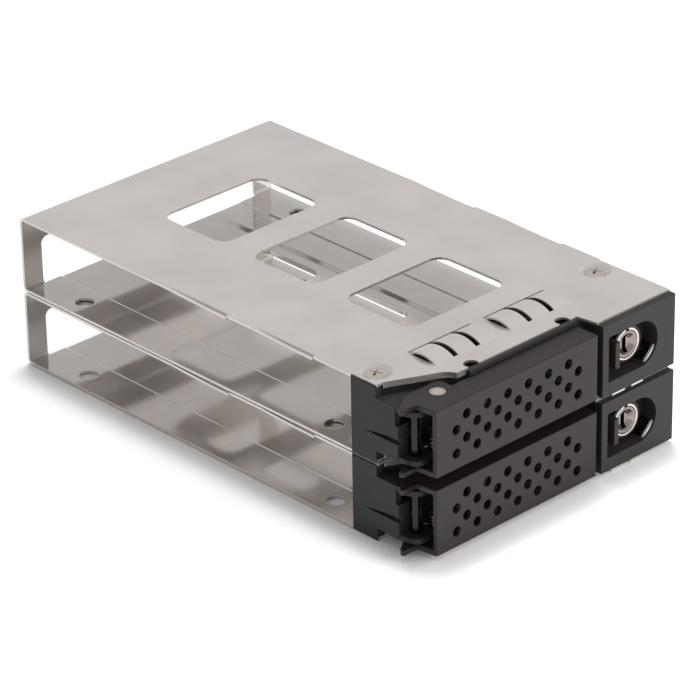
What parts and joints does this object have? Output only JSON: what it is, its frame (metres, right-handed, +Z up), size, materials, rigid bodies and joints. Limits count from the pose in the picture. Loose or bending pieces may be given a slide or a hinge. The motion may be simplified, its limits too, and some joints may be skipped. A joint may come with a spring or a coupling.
{
  "type": "hot swap drive tray stack",
  "caption": "Stack of removable drive trays for 2.5-inch drives: wrapped steel shells with windows and grounding fingers, and a black front with perforated lever, thumb release and key lock",
  "frame": {"origin": "centre of the bounding box in plan, at the underside of the lower tray's pan", "axes": "+X to the right as seen from the front, +Y from the lever to the rear connectors, +Z up"},
  "size_m": [0.0732, 0.1222, 0.0359],
  "materials": {
    "lower_shell": "brushed zinc plated steel sheet",
    "lower_latch_frame": "fine matte black moulding",
    "lower_lever": "satin black powder coat",
    "lower_hinge_pin": "black oxide steel",
    "lower_spring_post": "turned steel",
    "lower_lever_spring": "drawn spring wire",
    "lower_release_slide": "fine matte black moulding",
    "lower_catch_leaf": "spring steel strip",
    "lower_leaf_screw": "zinc plated screw",
    "lower_lock_barrel": "black coated zinc casting",
    "lower_lock_ring": "bright chrome plate",
    "lower_lock_plug": "chrome plated zinc casting",
    "lower_lock_cam": "zinc plated steel",
    "lower_cam_screw": "zinc plated screw",
    "lower_barrel_clip": "spring steel",
    "lower_status_lens": "clear moulded acrylic",
    "lower_roof_screws": "nickel plated screw",
    "lower_floor_screws": "nickel plated screw",
    "upper_shell": "brushed zinc plated steel sheet",
    "upper_latch_frame": "fine matte black moulding",
    "upper_lever": "satin black powder coat",
    "upper_hinge_pin": "black oxide steel",
    "upper_spring_post": "turned steel",
    "upper_lever_spring": "drawn spring wire",
    "upper_release_slide": "fine matte black moulding",
    "upper_catch_leaf": "spring steel strip",
    "upper_leaf_screw": "zinc plated screw",
    "upper_lock_barrel": "black coated zinc casting",
    "upper_lock_ring": "bright chrome plate",
    "upper_lock_plug": "chrome plated zinc casting",
    "upper_lock_cam": "zinc plated steel",
    "upper_cam_screw": "zinc plated screw",
    "upper_barrel_clip": "spring steel",
    "upper_status_lens": "clear moulded acrylic",
    "upper_roof_screws": "nickel plated screw",
    "upper_floor_screws": "nickel plated screw"
  },
  "bodies": {
    "lower_tray": {"lower_shell": "lower_shell", "lower_latch_frame": "lower_latch_frame", "lower_hinge_pin": "lower_hinge_pin", "lower_catch_leaf": "lower_catch_leaf", "lower_leaf_screw": "lower_leaf_screw", "lower_lock_barrel": "lower_lock_barrel", "lower_lock_ring": "lower_lock_ring", "lower_barrel_clip": "lower_barrel_clip", "lower_status_lens": "lower_status_lens", "lower_roof_screws": "lower_roof_screws", "lower_floor_screws": "lower_floor_screws"},
    "lower_lever_arm": {"lower_lever": "lower_lever", "lower_spring_post": "lower_spring_post", "lower_lever_spring": "lower_lever_spring"},
    "lower_release": {"lower_release_slide": "lower_release_slide"},
    "lower_key_plug": {"lower_lock_plug": "lower_lock_plug", "lower_lock_cam": "lower_lock_cam", "lower_cam_screw": "lower_cam_screw"},
    "upper_tray": {"upper_shell": "upper_shell", "upper_latch_frame": "upper_latch_frame", "upper_hinge_pin": "upper_hinge_pin", "upper_catch_leaf": "upper_catch_leaf", "upper_leaf_screw": "upper_leaf_screw", "upper_lock_barrel": "upper_lock_barrel", "upper_lock_ring": "upper_lock_ring", "upper_barrel_clip": "upper_barrel_clip", "upper_status_lens": "upper_status_lens", "upper_roof_screws": "upper_roof_screws", "upper_floor_screws": "upper_floor_screws"},
    "upper_lever_arm": {"upper_lever": "upper_lever", "upper_spring_post": "upper_spring_post", "upper_lever_spring": "upper_lever_spring"},
    "upper_release": {"upper_release_slide": "upper_release_slide"},
    "upper_key_plug": {"upper_lock_plug": "upper_lock_plug", "upper_lock_cam": "upper_lock_cam", "upper_cam_screw": "upper_cam_screw"}
  },
  "joints": [
    {"name": "lower_lever_swing", "type": "hinge", "parent": "lower_tray", "child": "lower_lever_arm", "pos_m": [-0.03105, -0.05445, 0.0088], "axis": [0, 0, -1], "range_deg": [0, 72], "deforming": ["lower_lever_spring", "lower_catch_leaf"]},
    {"name": "lower_release_press", "type": "slide", "parent": "lower_tray", "child": "lower_release", "axis": [-1, 0, 0], "range_m": [0, 0.0015], "stiffness_N_per_m": 900, "springref_m": -0.0005, "deforming": ["lower_catch_leaf"]},
    {"name": "lower_lock_turn", "type": "hinge", "parent": "lower_tray", "child": "lower_key_plug", "pos_m": [0.02485, -0.05845, 0.0088], "axis": [0, -1, 0], "range_deg": [-90, 0]},
    {"name": "upper_lever_swing", "type": "hinge", "parent": "upper_tray", "child": "upper_lever_arm", "pos_m": [-0.03105, -0.05445, 0.0262], "axis": [0, 0, -1], "range_deg": [0, 72], "deforming": ["upper_lever_spring", "upper_catch_leaf"]},
    {"name": "upper_release_press", "type": "slide", "parent": "upper_tray", "child": "upper_release", "axis": [-1, 0, 0], "range_m": [0, 0.0015], "stiffness_N_per_m": 900, "springref_m": -0.0005, "deforming": ["upper_catch_leaf"]},
    {"name": "upper_lock_turn", "type": "hinge", "parent": "upper_tray", "child": "upper_key_plug", "pos_m": [0.02485, -0.05845, 0.0262], "axis": [0, -1, 0], "range_deg": [-90, 0]},
    {"name": "upper_tray_lift", "type": "slide", "parent": "lower_tray", "child": "upper_tray", "axis": [0, 0, 1], "range_m": [0, 0.03]}
  ]
}
